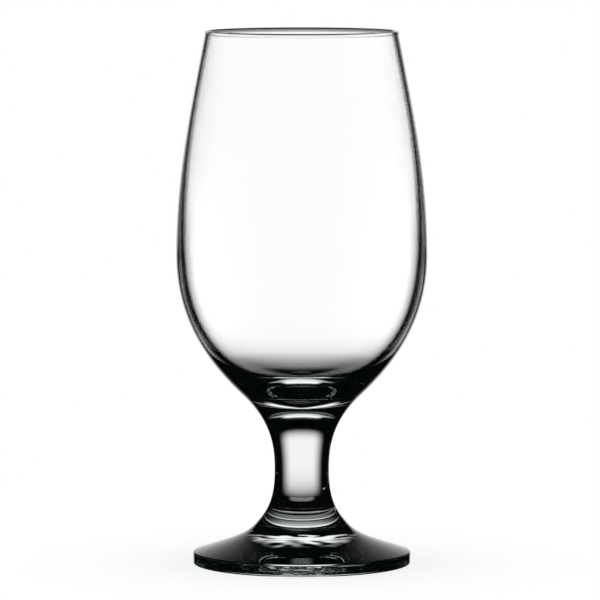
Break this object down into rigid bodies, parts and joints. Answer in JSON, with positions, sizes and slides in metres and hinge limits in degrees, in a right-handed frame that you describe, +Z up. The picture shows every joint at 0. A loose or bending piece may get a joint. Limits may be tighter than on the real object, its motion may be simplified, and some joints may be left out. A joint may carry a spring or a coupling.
{
  "type": "stemmed glass goblet",
  "caption": "Clear glass goblet: a tulip bowl with a beaded rim on a short waisted stem and a thick round foot, for drinking beer or water.",
  "frame": {"origin": "centre of the circle that the foot stands on", "axes": "+Z up along the axis that the glass is turned about, from the foot to the mouth; X and Y are alike"},
  "size_m": [0.081, 0.081, 0.172],
  "materials": {
    "clear_glass": "clear fire-polished soda-lime glass, smooth and glossy inside and out"
  },
  "bodies": {
    "root": {"bowl": "clear_glass", "stem": "clear_glass", "foot": "clear_glass"}
  },
  "joints": []
}
